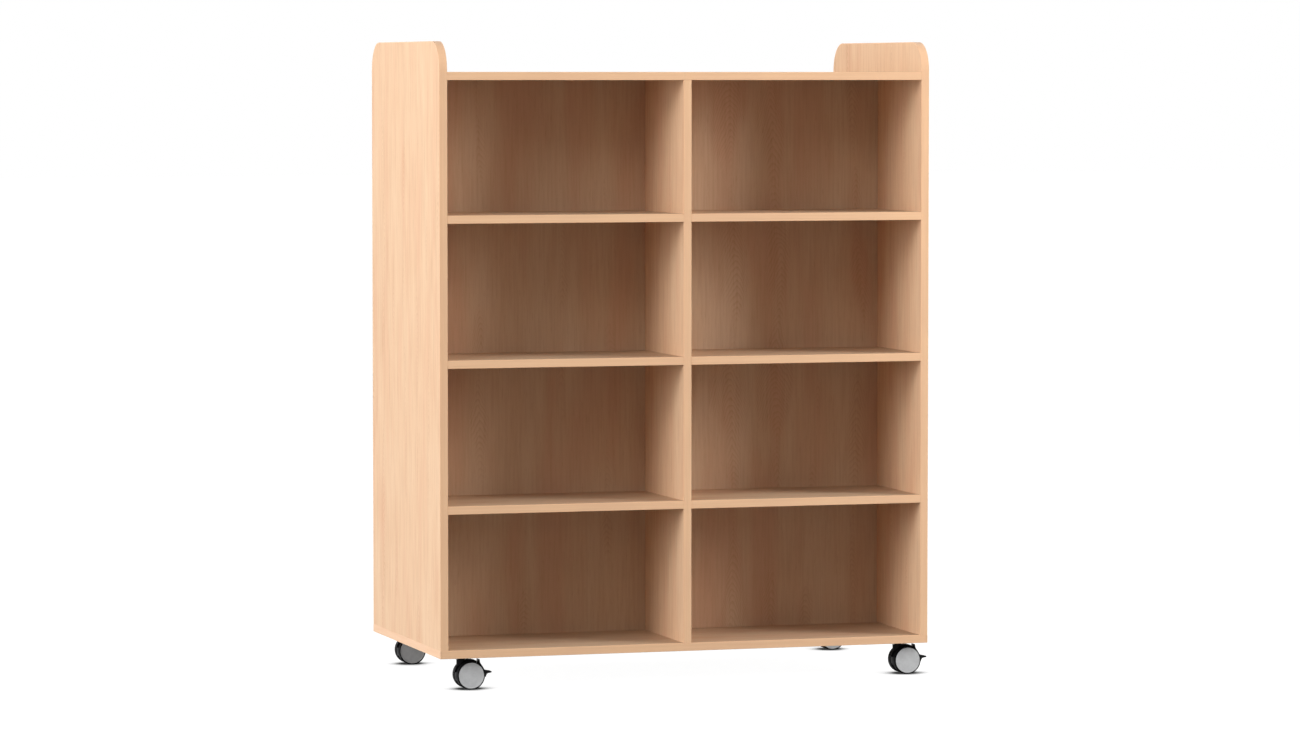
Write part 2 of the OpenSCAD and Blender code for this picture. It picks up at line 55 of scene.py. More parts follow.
CORNERS = ("front_left", "front_right", "rear_left", "rear_right")
BRAKED_CORNERS = ("front_left", "front_right")
SHELVES = tuple(
    f"{face}_{bay}_{level}_shelf"
    for face in ("front", "rear")
    for bay in ("left", "right")
    for level in ("low", "middle", "high")
)
UPRIGHT_BOARDS = ("left_side_panel", "right_side_panel", "front_divider", "rear_divider")
LEVEL_BOARDS = ("bottom_board", "top_board") + SHELVES


def middle(node):
    """The middle of a frame node's box."""
    low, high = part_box(node)
    return (low + high) / 2


def extent(node):
    """The width, depth and height of a frame node's box."""
    low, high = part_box(node)
    return high - low


# The front left castor is the pattern: the others are copies of its pieces
SWIVEL = middle("front_left_castor_plate")
AXLE = middle("front_left_axle")
WHEEL = middle("front_left_outer_wheel")
CAP = middle("front_left_outer_cap")
WHEEL_SIZE = extent("front_left_outer_wheel")
CAP_SIZE = extent("front_left_outer_cap")
HOUSING_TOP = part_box("front_left_housing")[1].z

# Each lamp: distance, bearing and rise in degrees, height aimed at, size, whether gloss shows it
LAMPS = {
    "left": (11.0, -75, 12, 0.75, 6.0, False),
    "side": (4.0, -50, 30, 1.2, 1.8, True),
    "right": (6.5, 57, 12, 0.75, 2.6, False),
    "near": (4.0, 60, 20, 1.2, 1.8, False),
    "front": (6.5, 0, 35, 0.75, 2.6, False),
    "left_end": (6.5, -112, 12, 0.75, 2.6, False),
    "right_end": (6.5, 118, 12, 0.75, 2.6, False),
    "rear": (6.5, 176, 22, 0.75, 2.6, False),
}
FLOOR_SIZE = 120.0

# Noise drawn out along a run: how slow it is along the run, scale, detail, roughness
SWAY = (0.45, 4.0, 2.0, 0.5)
WOBBLE = (0.30, 17.0, 3.0, 0.55)
CHANCE = (0.5, 8.0, 1.0, 0.5)
STREAK = (0.04, 170.0, 4.0, 0.68)
FLECK = (0.07, 480.0, 1.0, 0.5)
DASH = (0.09, 62.0, 3.0, 0.6)
FIBRE = (0.03, 900.0, 2.0, 0.6)
SCRATCH = (0.05, 1500.0, 2.0, 0.6)
TONE_SLOWNESS = 0.16
STRIP_SLOWNESS = 0.02

# Growth lines: how pointed an arch is and, in lines, its rise, its wobble and a column's shift
ARCH_POINT = 1.4
ARCH_RISE = 26.0
LINE_WOBBLE = 6.0
COLUMN_SHIFT = 9.0
SWAY_REACH = 0.10

# Board edging: an end strip lies beyond the first X, a divider's within the second, above Z
END_STRIP_X = 0.596
DIVIDER_STRIP_X = 0.0105
DIVIDER_STRIP_Z = 0.0955

# Colours of the metals
ZINC_PLATE = (0.60, 0.61, 0.63, 1.0)
ZINC_SCREW = (0.66, 0.66, 0.62, 1.0)
TURNED_STEEL = (0.56, 0.57, 0.58, 1.0)

# Ribs inside a wheel: how many, how far they enter hub and rim, stay below the face, and sink
RIBS = 8
RIB_OVERLAP = 0.0008
RIB_INSET = 0.002
RIB_SINK = 0.0002
BORE_SKIN = 0.0001
SMALL_ROUND = 0.0003

# The cap's face from its rim inwards, as insets and rises: lip, wall, foot and crown of the dish
CAP_STEPS = (
    (0.0019, 0.0), (0.0006, -0.0003), (0.0007, -0.00005),
    (0.006, 0.00006), (0.008, 0.00005), (0.006, 0.00002),
)
CAP_ROUND = 0.0006

# Cuts in the housing, the brake and its slot; the pivot is given from the axle
MOULDED_ROUND = 0.0005
WHEEL_SPACE = 0.04
BORE_PROUD = 0.001
THROUGH = 0.03
BRAKE_PIVOT = (0.024, 0.011)
BRAKE_TRAVEL = math.radians(12)
PIVOT_BORE = 0.00205
SLOT_REACH = (0.017, 0.06)
SLOT_HALF_WIDTH = 0.0034
SLOT_TOP = 0.076
SHOE_INNER = 0.0337
SHOE_OUTER = 0.0367
LEVER_WIDTH = 0.020
LEVER_WEB_WIDTH = 0.006
EYE_RADIUS = 0.005
TRUNNION_RADIUS = 0.002
TRUNNION_LENGTH = 0.0128

# Outlines of the lever, in millimetres from the axle
SHOE_TO_PEDAL = ((39.4, -3.0), (41.2, 0.8), (43.4, 2.7))
PEDAL_TIP = (51.2, 5.8)
PEDAL_TIP_RADIUS = 1.8
PEDAL_TO_SHOE = ((41.5, 9.2), (38.4, 10.2))
HORN = (
    (26.2, 26.6), (24.9, 29.4), (24.5, 32.0), (24.5, 35.2), (23.4, 36.1), (22.2, 36.5),
    (21.5, 35.8),
)
LEVER_WEB = (
    (20.0, 13.0), (24.0, 20.0), (27.0, 23.6), (35.6, 8.0), (36.2, -4.0), (34.0, -5.0),
    (23.0, 6.6), (20.0, 9.0),
)
MM = 0.001

# Screws: no foot is wider than the first length; the others are radii, heights and a cross
SCREW_SPAN = 0.012
BOARD_HEAD_RADIUS = 0.005
BOARD_NECK_RADIUS = 0.0034
BOARD_HEAD_HEIGHT = 0.003
BOARD_SHANK = 0.047
SOCKET_RADIUS = 0.0023
SOCKET_LENGTH = 0.005
CASTOR_HEAD_RADIUS = 0.00375
CASTOR_HEAD_HEIGHT = 0.0018
CASTOR_HEAD_LEDGE = 0.00175
CASTOR_SHANK = 0.0165
CROSS_LENGTH = 0.0042
CROSS_WIDTH = 0.0011
CROSS_DEPTH = 0.0012


# Settings that a user would change


def length(name, description, default):
    return bpy.props.FloatProperty(
        name=name, description=description, default=default, min=0.0, precision=5,
        subtype="DISTANCE", unit="LENGTH",
    )


def angle(name, description, degrees):
    return bpy.props.FloatProperty(
        name=name, description=description, default=math.radians(degrees),
        subtype="ANGLE", unit="ROTATION",
    )


def colour(name, description, default):
    return bpy.props.FloatVectorProperty(
        name=name, description=description, default=(*default, 1.0), size=4,
        min=0.0, max=1.0, subtype="COLOR",
    )


def power(name, description, default):
    return bpy.props.FloatProperty(
        name=name, description=description, default=default, min=0.0, unit="POWER",
    )


def factor(name, description, default):
    return bpy.props.FloatProperty(
        name=name, description=description, default=default, min=0.0, soft_max=1.0,
        subtype="FACTOR",
    )


class StudioSettings(bpy.types.PropertyGroup):
    camera_place: bpy.props.FloatVectorProperty(
        name="Camera Place", description="Where the camera stands",
        default=(-3.6556, -11.8235, 1.4239), subtype="TRANSLATION", unit="LENGTH",
    )
    camera_turn: bpy.props.FloatVectorProperty(
        name="Camera Turn", description="How the camera is turned",
        default=(math.pi / 2 - 0.05596, 0.0, -0.30031), subtype="EULER", unit="ROTATION",
    )
    camera_lens: bpy.props.FloatProperty(
        name="Camera Lens", description="Focal length of the camera's lens",
        default=142.98, min=1.0, unit="CAMERA",
    )
    left_power: power("Left Power", "Power of the large low lamp at the left", 835.0)
    side_power: power("Side Power", "Power of the nearer lamp at the left", 32.0)
    right_power: power("Right Power", "Power of the large low lamp at the front right", 190.0)
    near_power: power("Near Power", "Power of the nearer lamp at the front right", 74.0)
    front_power: power("Front Power", "Power of the high lamp in front", 16.0)
    left_end_power: power("Left End Power", "Power of the lamp behind the left end", 92.0)
    right_end_power: power("Right End Power", "Power of the lamp behind the right end", 65.0)
    rear_power: power("Rear Power", "Power of the large lamp behind the unit", 165.0)
    room_level: factor("Room Level", "Brightness of the room on the object", 0.15)
    floor_lift: factor("Floor Lift", "How much the floor is lightened for the eye", 0.99)
    floor_colour: colour("Floor Colour", "Colour of the floor", (0.18, 0.18, 0.18))
    # Reach of the painted contact shadow under the wheels
    painted_shadow_reach: length("Contact Reach", "How far the dark under the wheels reaches", 0.055)


class BeechSettings(bpy.types.PropertyGroup):
    pale: colour("Pale", "Lightest tone of the beech laminate", (0.86, 0.60, 0.397))
    body: colour("Body", "Main tone of the beech laminate", (0.83, 0.553, 0.355))
    rose: colour("Rose", "Pinkish tone of the beech laminate", (0.80, 0.487, 0.309))
    line: colour("Line", "Colour of the growth lines and flecks", (0.56, 0.30, 0.165))
    edge: colour("Edge", "Main tone of the edging strips", (0.925, 0.582, 0.348))
    end_share: factor("End Share", "Tone of the bottom board's end strips", 0.93)
    end_grain: colour("Dowel", "Colour of the solid beech dowels", (0.70, 0.50, 0.31))
    upright_tone: colour("Upright Tone", "Tone of the ends and dividers", (0.98, 0.995, 1.0))
    # Painted shade: the centre partition's laminate is made darker than the other boards to stand
    # in for the shade deep inside the bays
    partition_painted_shade: colour("Partition Painted Shade", "Tone of the centre partition", (0.812, 0.87, 0.922))
    # Painted shade: the shelves, top and bottom boards are made darker than the uprights to stand
    # in for the shade on the shelf tops
    level_painted_shade: colour("Level Painted Shade", "Tone of the shelves beside the uprights", (0.70, 0.73, 0.75))
    figure: factor("Figure", "How strong the growth lines are", 0.26)
    streaks: factor("Streaks", "How strong the fine streaks are", 0.22)
    column: length("Column", "Width of the columns in which the growth lines arch", 0.105)
    ring: length("Ring", "Distance of the growth lines along a column", 0.016)
    gloss_rough: factor("Roughness", "Roughness of the laminate", 0.58)


class CastorSettings(bpy.types.PropertyGroup):
    shoulder: length("Shoulder", "Radius of the wheel's shoulders", 0.0018)
    cap_clearance: length("Cap Clearance", "Gap round the cap in the wheel", 0.0001)
    rim_width: length("Rim Width", "Thickness of the wheel's rim", 0.0045)
    disc_width: length("Disc Width", "Thickness of the wheel's disc", 0.003)
    hub_radius: length("Hub Radius", "Radius of the wheel's hub", 0.0085)
    bore_radius: length("Bore Radius", "Radius of the bore for the axle", 0.00405)
    rib_width: length("Rib Width", "Thickness of the ribs inside a wheel", 0.0018)
    web_width: length("Web Width", "Width of the housing between the wheels", 0.0128)
    web_radius: length("Web Radius", "Radius of the housing between the wheels", 0.0324)
    hood_radius: length("Hood Radius", "Radius of the housing's hood", 0.037)
    hood_start: angle("Hood Start", "Where the plain hood starts, from the rear", 36.0)
    braked_hood_start: angle("Braked Hood Start", "Where the hood starts beside a brake", 60.0)
    hood_end: angle("Hood End", "Where the hood ends", 168.0)
    housing_drop: length("Housing Drop", "How far the housing goes below the axle", 0.013)
    boss_radius: length("Boss Radius", "Radius of the boss round the kingpin", 0.0105)
    boss_foot: length("Boss Foot", "Height at which the boss starts", 0.052)
    kingpin_radius: length("Kingpin Radius", "Radius of the kingpin's bore", 0.00505)
    kingpin_depth: length("Kingpin Depth", "Depth of the kingpin's bore", 0.0145)
    wheel_clearance: length("Wheel Clearance", "Radius cut clear round a wheel", 0.034)
    black: colour("Black", "Colour of the black plastic", (0.006, 0.006, 0.0065))
    tread: colour("Tread", "Colour of the wheels' treads", (0.006, 0.006, 0.0065))
    dust: colour("Dust", "Colour of the dust on the treads", (0.015, 0.0145, 0.014))
    grey: colour("Grey", "Colour of the wheel caps", (0.55, 0.555, 0.56))


# Nodes


def join_inputs(tree, node, inputs):
    """Sets a node's inputs; each takes a number, a colour or another node's socket."""
    for name, value in inputs.items():
        if isinstance(value, bpy.types.NodeSocket):
            tree.links.new(value, node.inputs[name])
        else:
            node.inputs[name].default_value = value


def add(tree, kind, inputs=None, **settings):
    """Adds a shader node with its settings and inputs."""
    node = tree.nodes.new(kind)
    for name, value in settings.items():
        setattr(node, name, value)
    join_inputs(tree, node, inputs or {})
    return node


def math_node(tree, operation, first, second=0.0, clamp=False):
    return add(
        tree, "ShaderNodeMath", {0: first, 1: second}, operation=operation, use_clamp=clamp
    ).outputs[0]


def scale_add(tree, value, share, rest):
    """The value times a share, and the rest added."""
    return add(
        tree, "ShaderNodeMath", {0: value, 1: share, 2: rest}, operation="MULTIPLY_ADD"
    ).outputs[0]


def spread(tree, value, low, high, to_low=0.0, to_high=1.0):
    """Stretches a range of a value to another range, smoothly."""
    return add(
        tree, "ShaderNodeMapRange",
        {"Value": value, "From Min": low, "From Max": high, "To Min": to_low, "To Max": to_high},
        interpolation_type="SMOOTHSTEP",
    ).outputs[0]


def blend(tree, amount, first, second):
    """A colour between two colours."""
    return add(
        tree, "ShaderNodeMix", {0: amount, 6: first, 7: second}, data_type="RGBA"
    ).outputs[2]


def noise(tree, vector, scale, detail=2.0, roughness=0.5):
    return add(
        tree, "ShaderNodeTexNoise",
        {"Vector": vector, "Scale": scale, "Detail": detail, "Roughness": roughness},
    ).outputs[0]


def object_place(tree):
    return add(tree, "ShaderNodeTexCoord").outputs["Object"]


def start_finish(name):
    """A new material, its node tree, its principled surface and its object coordinates."""
    material = bpy.data.materials.new(name)
    material.use_nodes = True
    tree = material.node_tree
    tree.nodes.clear()
    surface = add(tree, "ShaderNodeBsdfPrincipled")
    add(tree, "ShaderNodeOutputMaterial", {"Surface": surface.outputs[0]})
    return material, tree, surface, object_place(tree)


def run_vector(tree, place, run, slowness):
    """Object coordinates drawn out along one axis, as grain is."""
    stretch = [1.0, 1.0, 1.0]
    stretch["XYZ".index(run)] = slowness
    return add(
        tree, "ShaderNodeVectorMath", {0: place, 1: stretch}, operation="MULTIPLY"
    ).outputs[0]


def grain(tree, place, run, slowness, scale, detail, roughness):
    """Noise drawn out along a run."""
    return noise(tree, run_vector(tree, place, run, slowness), scale, detail, roughness)


def relief(tree, height, strength, distance=0.0002):
    """The normal of a surface with fine relief."""
    return add(
        tree, "ShaderNodeBump", {"Strength": strength, "Distance": distance, "Height": height}
    ).outputs[0]


def choose_vector(tree, amount, first, second):
    return add(
        tree, "ShaderNodeMix", {0: amount, 4: first, 5: second}, data_type="VECTOR"
    ).outputs[1]


def surface_part(tree, axis):
    """How far the surface faces along an axis, either way."""
    normal = add(tree, "ShaderNodeNewGeometry").outputs["Normal"]
    parts = add(tree, "ShaderNodeSeparateXYZ", {0: normal})
    return math_node(tree, "ABSOLUTE", parts.outputs[axis])


# Finishes


def toned(tint, share):
    """A colour made darker or lighter, or changed by another colour."""
    shares = (share,) * 3 if isinstance(share, float) else share[:3]
    return tuple(channel * part for channel, part in zip(tint[:3], shares)) + (1.0,)


def arched_lines(tree, place, run, across):
    """Growth lines that arch in columns: how dark they are, and how far a point is in an arch."""
    beech = bpy.context.scene.beech_settings
    parts = add(tree, "ShaderNodeSeparateXYZ", {0: place})
    sway = grain(tree, place, run, *SWAY)
    moved = scale_add(tree, sway, SWAY_REACH, parts.outputs[across])
    columns = math_node(tree, "DIVIDE", moved, beech.column)
    number = math_node(tree, "FLOOR", columns)
    local = math_node(tree, "SUBTRACT", math_node(tree, "FRACT", columns), 0.5)
    lot = add(
        tree, "ShaderNodeTexWhiteNoise", {"W": number}, noise_dimensions="1D"
    ).outputs["Value"]
    off_centre = math_node(tree, "ABSOLUTE", local)
    hill = math_node(
        tree, "MULTIPLY", math_node(tree, "POWER", off_centre, ARCH_POINT), ARCH_RISE
    )
    wobble = grain(tree, place, run, *WOBBLE)
    height = math_node(tree, "DIVIDE", parts.outputs[run], beech.ring)
    height = math_node(tree, "ADD", height, hill)
    height = scale_add(tree, wobble, LINE_WOBBLE, height)
    height = scale_add(tree, lot, COLUMN_SHIFT, height)
    ring = math_node(tree, "FRACT", height)
    line = math_node(
        tree, "MULTIPLY", spread(tree, ring, 0.35, 0.90), spread(tree, ring, 0.90, 1.0, 1.0, 0.0)
    )
    chance = scale_add(tree, lot, 0.30, grain(tree, place, run, *CHANCE))
    arch = spread(tree, scale_add(tree, off_centre, -0.70, chance), 0.54, 0.70)
    return math_node(tree, "MULTIPLY", line, arch), arch


def beech_laminate(name, run, across, tone_and_painted_shade, tone_change=1.0, band=11.0, dashes=0.0):
    """Printed beech: soft tone bands, growth lines that arch, fine streaks and short flecks."""
    beech = bpy.context.scene.beech_settings
    material, tree, surface, place = start_finish(name)

    lines, arch = arched_lines(tree, place, run, across)
    tone = grain(tree, place, run, TONE_SLOWNESS, band, 2.5, 0.5)
    tone = spread(tree, tone, 0.5 - 0.2 / tone_change, 0.5 + 0.2 / tone_change)
    tone = scale_add(tree, arch, 0.20 * tone_change, tone)
    # The tone share is the uprights' own tone, and painted shade that darkens the partition and
    # the shelves
    ramp = add(tree, "ShaderNodeValToRGB", {0: tone})
    stops = ramp.color_ramp.elements
    stops[0].position = 0.05
    stops[0].color = toned(beech.pale, tone_and_painted_shade)
    stops[1].position = 0.95
    stops[1].color = toned(beech.rose, tone_and_painted_shade)
    stops.new(0.50).color = toned(beech.body, tone_and_painted_shade)

    streak = grain(tree, place, run, *STREAK)
    streak_share = spread(tree, streak, 0.38, 0.68, 0.0, beech.streaks)
    fleck_share = spread(tree, grain(tree, place, run, *FLECK), 0.64, 0.74, 0.0, 0.20)
    share = scale_add(tree, lines, beech.figure, streak_share)
    if dashes:
        dash = grain(tree, place, run, *DASH)
        share = math_node(tree, "ADD", share, spread(tree, dash, 0.46, 0.70, 0.0, dashes))
    share = math_node(tree, "ADD", share, fleck_share, clamp=True)
    tint = blend(tree, share, ramp.outputs[0], toned(beech.line, tone_and_painted_shade))

    gloss = spread(tree, streak, 0.3, 0.7, beech.gloss_rough - 0.05, beech.gloss_rough + 0.06)
    join_inputs(tree, surface, {
        "Base Color": tint, "Roughness": gloss,
        "Normal": relief(tree, grain(tree, place, run, *FIBRE), 0.12),
        "Specular IOR Level": 0.25,
    })
    return material


def beech_edging(name, runs):
    """Edging strip: plainer than the laminate, with streaks that follow each strip."""
    beech = bpy.context.scene.beech_settings
    material, tree, surface, place = start_finish(name)

    def along(axis):
        return run_vector(tree, place, axis, STRIP_SLOWNESS)

    vector = along(runs[0])
    if "sides" in runs:
        level = math_node(tree, "GREATER_THAN", surface_part(tree, "Z"), 0.7)
        vector = choose_vector(tree, level, vector, along("Y"))
    if "boards" in runs:
        parts = add(tree, "ShaderNodeSeparateXYZ", {0: place})
        off_axis = math_node(tree, "ABSOLUTE", parts.outputs["X"])
        on_end = math_node(tree, "GREATER_THAN", off_axis, END_STRIP_X)
        vector = choose_vector(tree, on_end, vector, along("Y"))
        on_divider = math_node(tree, "LESS_THAN", off_axis, DIVIDER_STRIP_X)
        above = math_node(tree, "GREATER_THAN", parts.outputs["Z"], DIVIDER_STRIP_Z)
        upright = math_node(tree, "MULTIPLY", on_divider, above)
        vector = choose_vector(tree, upright, vector, along("Z"))
    streak = noise(tree, vector, 260.0, 4.0, 0.6)
    cloud = noise(tree, place, 6.0, 2.0)
    share = spread(tree, streak, 0.35, 0.72, 0.0, 0.12)
    tint = tuple(beech.edge)
    if "boards" in runs:
        tint = blend(tree, on_end, tint, toned(beech.edge, beech.end_share))
    tint = blend(tree, share, tint, tuple(beech.line))
    tint = blend(tree, spread(tree, cloud, 0.4, 0.65, 0.0, 0.25), tint, tuple(beech.rose))
    gloss = spread(tree, streak, 0.3, 0.7, 0.36, 0.46)
    join_inputs(tree, surface, {
        "Base Color": tint, "Roughness": gloss, "Normal": relief(tree, streak, 0.10),
        "Specular IOR Level": 0.45,
    })
    return material


def solid_beech(name):
    """Plain beech of the dowels, with fine pores."""
    beech = bpy.context.scene.beech_settings
    material, tree, surface, place = start_finish(name)
    pores = noise(tree, place, 1400.0, 3.0, 0.6)
    pore_share = spread(tree, pores, 0.45, 0.75, 0.0, 0.5)
    tint = blend(tree, pore_share, tuple(beech.end_grain), tuple(beech.line))
    join_inputs(tree, surface, {
        "Base Color": tint, "Roughness": 0.7, "Normal": relief(tree, pores, 0.25),
    })
    return material


def moulded_plastic(name, tint, roughness, shine=0.5, dusty=None):
    """Moulded plastic: a fine spark-eroded texture, faint clouding and, on treads, dust."""
    material, tree, surface, place = start_finish(name)
    texture = noise(tree, place, 1800.0, 2.0, 0.55)
    cloud = noise(tree, place, 90.0, 3.0, 0.6)
    base = blend(tree, spread(tree, cloud, 0.3, 0.7, 0.0, 0.35), tuple(tint), toned(tint, 1.35))
    if dusty is not None:
        smear = spread(tree, noise(tree, place, 260.0, 4.0, 0.65), 0.45, 0.7)
        running = spread(tree, surface_part(tree, "Y"), 0.15, 0.6, 0.5, 0.0)
        base = blend(tree, math_node(tree, "MULTIPLY", smear, running), base, tuple(dusty))
    gloss = spread(tree, cloud, 0.3, 0.7, roughness - 0.05, roughness + 0.08)
    join_inputs(tree, surface, {
        "Base Color": base, "Roughness": gloss,
        "Normal": relief(tree, texture, 0.18, 0.00012), "Specular IOR Level": shine,
    })
    return material


def plated_metal(name, tint, roughness, mottle):
    """Plated or turned steel: a soft crystal mottle and fine scratches."""
    material, tree, surface, place = start_finish(name)
    crystal = add(tree, "ShaderNodeTexVoronoi", {"Vector": place, "Scale": mottle})
    grey = add(tree, "ShaderNodeRGBToBW", {0: crystal.outputs["Color"]}).outputs[0]
    base = blend(tree, spread(tree, grey, 0.1, 0.9, 0.0, 0.5), tuple(tint), toned(tint, 0.78))
    scratch = grain(tree, place, "X", *SCRATCH)
    gloss = spread(tree, grey, 0.0, 1.0, roughness - 0.06, roughness + 0.10)
    join_inputs(tree, surface, {
        "Base Color": base, "Roughness": gloss,
        "Normal": relief(tree, scratch, 0.15, 0.0001), "Metallic": 1.0,
    })
    return material


def dress(names, material):
    """Gives frame nodes a finish."""
    for name in names:
        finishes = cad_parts[name].data.materials
        finishes.clear()
        finishes.append(material)


# Modelling steps


def clear_selection():
    if bpy.context.mode != "OBJECT":
        bpy.ops.object.mode_set(mode="OBJECT")
    bpy.ops.object.select_all(action="DESELECT")


def drop(piece):
    bpy.data.objects.remove(piece, do_unlink=True)


def take(piece):
    """Makes the piece active and selects it alone."""
    clear_selection()
    bpy.context.view_layer.objects.active = piece
    piece.select_set(True)


def open_piece(name):
    """Names the new primitive, moves its place into its mesh and opens it in edit mode."""
    piece = bpy.context.active_object
    piece.name = name
    piece.data.name = name
    bpy.ops.object.transform_apply(location=True, rotation=True, scale=True)
    bpy.ops.object.mode_set(mode="EDIT")
    bpy.ops.mesh.select_all(action="DESELECT")
    return piece


def add_cylinder(name, place, radius, depth, along="Y", sides=96, top_radius=None):
    """Starts a piece from a cylinder or a cone that lies along an axis."""
    clear_selection()
    turn = {"X": (0, math.pi / 2, 0), "Y": (math.pi / 2, 0, 0), "Z": (0, 0, 0)}[along]
    bpy.ops.mesh.primitive_cone_add(
        vertices=sides, radius1=radius, radius2=radius if top_radius is None else top_radius,
        depth=depth, location=place, rotation=turn,
    )
    return open_piece(name)


def add_block(name, low, high):
    """Starts a piece from a block between two corners."""
    clear_selection()
    low = Vector(low)
    high = Vector(high)
    bpy.ops.mesh.primitive_cube_add(size=1.0, location=(low + high) / 2, scale=high - low)
    return open_piece(name)


def add_slab(name, outline, y_middle, width):
    """Starts a piece from an outline seen from the front, given from the axle, and its width."""
    clear_selection()
    bpy.ops.mesh.primitive_circle_add(
        vertices=len(outline), radius=0.01, fill_type="NGON",
        location=(AXLE.x, y_middle, AXLE.z), rotation=(math.pi / 2, 0, 0),
    )
    piece = open_piece(name)
    shape = bmesh.from_edit_mesh(piece.data)
    shape.verts.ensure_lookup_table()
    for corner, (x, z) in zip(shape.verts, outline):
        corner.co = (AXLE.x + x, y_middle - width / 2, AXLE.z + z)
    bmesh.update_edit_mesh(piece.data)
    bpy.ops.mesh.select_all(action="SELECT")
    push((0, width, 0))
    bpy.ops.mesh.select_all(action="SELECT")
    bpy.ops.mesh.normals_make_consistent(inside=False)
    return piece


def pivot_place():
    """The middle of the brake's pivot."""
    return AXLE.x + BRAKE_PIVOT[0], SWIVEL.y, AXLE.z + BRAKE_PIVOT[1]


def arc_points(radius, start, end, steps):
    """Points on an arc round the axle, as seen from the front."""
    return [
        (radius * math.cos(turn), radius * math.sin(turn))
        for turn in (start + (end - start) * step / steps for step in range(steps + 1))
    ]


def metres(points):
    """Points in millimetres, given in metres."""
    return [(x * MM, z * MM) for x, z in points]


def pick_faces(test):
    """Selects the faces in edit mode whose middle and normal pass a test."""
    bpy.ops.mesh.select_mode(type="FACE")
    bpy.ops.mesh.select_all(action="DESELECT")
    data = bpy.context.edit_object.data
    shape = bmesh.from_edit_mesh(data)
    for face in shape.faces:
        face.select_set(test(face.calc_center_median(), face.normal))
    bmesh.update_edit_mesh(data)


def pick_edges(test):
    """Selects the edges in edit mode whose two ends both pass a test."""
    bpy.ops.mesh.select_mode(type="EDGE")
    bpy.ops.mesh.select_all(action="DESELECT")
    data = bpy.context.edit_object.data
    shape = bmesh.from_edit_mesh(data)
    for edge in shape.edges:
        edge.select_set(all(test(corner.co) for corner in edge.verts))
    bmesh.update_edit_mesh(data)


def off_axle(point):
    """Distance of a point from the axle's middle line."""
    return math.hypot(point.x - AXLE.x, point.z - AXLE.z)


def ring_at(radius, y, slack=0.00002):
    """A test for points on a circle round the axle."""
    return lambda point: abs(off_axle(point) - radius) < slack and abs(point.y - y) < slack


def inset(thickness, depth=0.0):
    bpy.ops.mesh.inset(thickness=thickness, depth=depth)


def push(move):
    """Extrudes what is selected."""
    bpy.ops.mesh.extrude_region_move(TRANSFORM_OT_translate={"value": move})


def round_off(offset, segments):
    bpy.ops.mesh.bevel(offset=offset, segments=segments, affect="EDGES", clamp_overlap=True)


def close_piece(piece, smooth=35.0):
    """Leaves edit mode and shades the piece."""
    take(piece)
    bpy.ops.object.shade_smooth_by_angle(angle=math.radians(smooth))
    return piece


def combine(piece, other, operation):
    """Joins another solid to the piece or cuts it away, and removes that solid."""
    take(piece)
    step = piece.modifiers.new("combine", "BOOLEAN")
    step.operation = operation
    step.solver = "EXACT"
    step.object = other
    bpy.ops.object.modifier_apply(modifier=step.name)
    drop(other)


def soften(piece, width, segments, degrees):
    """Rounds every sharp edge of the piece."""
    take(piece)
    step = piece.modifiers.new("soften", "BEVEL")
    step.width = width
    step.segments = segments
    step.limit_method = "ANGLE"
    step.angle_limit = math.radians(degrees)
    bpy.ops.object.modifier_apply(modifier=step.name)


def copy_piece(piece, name, matrix):
    """A copy with its own mesh, moved in its mesh."""
    twin = piece.copy()
    twin.data = piece.data.copy()
    twin.name = name
    twin.data.name = name
    bpy.context.scene.collection.objects.link(twin)
    twin.data.transform(matrix)
    return twin


def fit(piece, node, body, material):
    """Puts a piece in a frame node's stead, on its body and with its finish."""
    piece.data.materials.clear()
    piece.data.materials.append(material)
    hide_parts(node)
    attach(piece, body)


def fit_on_axles(pattern, part, source, material):
    """Fits a copy on every wheel, with a half turn where it faces back; drops the pattern."""
    for corner in CORNERS:
        for side in ("outer", "inner"):
            node = f"{corner}_{side}_{part}"
            to_front = corner.startswith("front") == (side == "outer")
            half = Matrix.Rotation(0.0 if to_front else math.pi, 4, "Z")
            move = Matrix.Translation(middle(node)) @ half @ Matrix.Translation(-source)
            piece = copy_piece(pattern, f"{node}_moulding", move)
            fit(piece, node, f"{corner}_{side}_wheel_body", material)
    drop(pattern)


def fit_on_castor(pattern, corner, part, body, material):
    """Fits a copy on one castor."""
    move = Matrix.Translation(middle(f"{corner}_castor_plate") - SWIVEL)
    piece = copy_piece(pattern, f"{corner}_{part}_moulding", move)
    fit(piece, f"{corner}_{part}", f"{corner}_{body}", material)


# Pieces and stage


